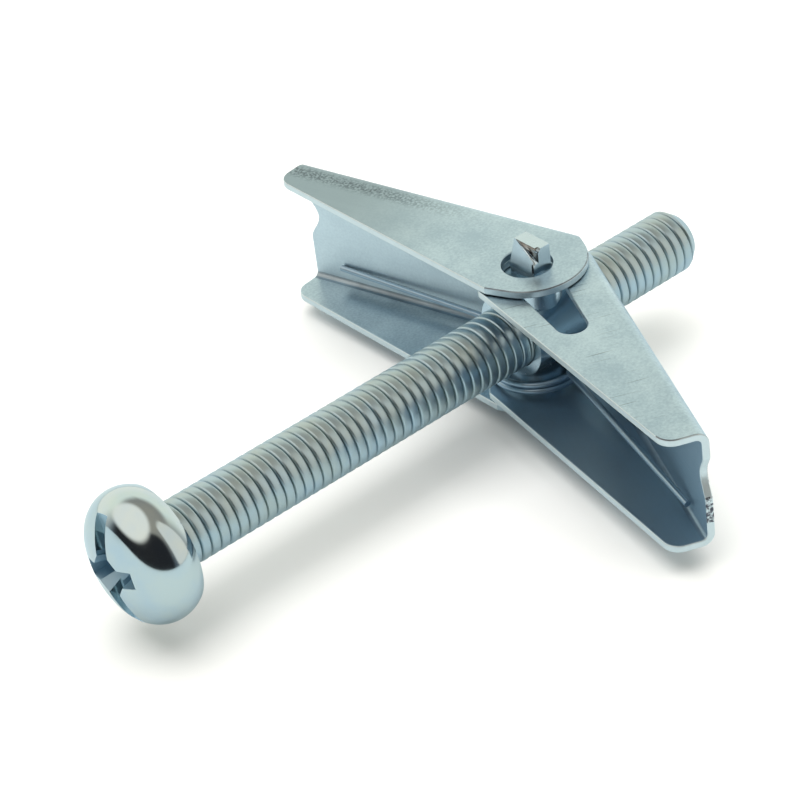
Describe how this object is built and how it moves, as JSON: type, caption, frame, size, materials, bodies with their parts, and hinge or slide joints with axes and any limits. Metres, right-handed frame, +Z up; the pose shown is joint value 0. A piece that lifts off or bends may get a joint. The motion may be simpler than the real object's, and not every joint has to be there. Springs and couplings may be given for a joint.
{
  "type": "spring toggle bolt",
  "caption": "Spring toggle bolt: a slotted cross-recess machine screw through a trunnion nut that carries folded sheet wings, spread by a torsion spring to clamp behind a hollow wall.",
  "frame": {"origin": "under the middle of the object's box, on the surface it lies on", "axes": "+X along the screw from head to tip, +Y across the screw toward wing A, +Z up along the wings' pivot axis"},
  "size_m": [0.0657, 0.0582, 0.0172],
  "materials": {
    "screw_steel": "bright zinc plate",
    "nut_steel": "zinc plate",
    "wing_steel": "satin zinc plate",
    "spring_wire": "bright wire"
  },
  "bodies": {
    "nut": {"trunnion_nut": "nut_steel", "torsion_spring": "spring_wire"},
    "wing_a": {"wing_a": "wing_steel"},
    "wing_b": {"wing_b": "wing_steel"},
    "screw": {"screw": "screw_steel"}
  },
  "joints": [
    {"name": "wing_a_hinge", "type": "hinge", "parent": "nut", "child": "wing_a", "pos_m": [0.01485, -0.00034, 0.0086], "axis": [0, 0, 1], "range_deg": [0, 74], "stiffness_Nm_per_rad": 0.03, "springref_deg": -57.3, "deforming": ["torsion_spring"]},
    {"name": "wing_b_hinge", "type": "hinge", "parent": "nut", "child": "wing_b", "pos_m": [0.01485, -0.00034, 0.0086], "axis": [0, 0, 1], "range_deg": [-65, 0], "stiffness_Nm_per_rad": 0.03, "springref_deg": 57.3, "deforming": ["torsion_spring"]},
    {"name": "screw_turn", "type": "hinge", "parent": "nut", "child": "screw", "pos_m": [0.01485, -0.00034, 0.0086], "axis": [1, 0, 0], "continuous": true}
  ]
}
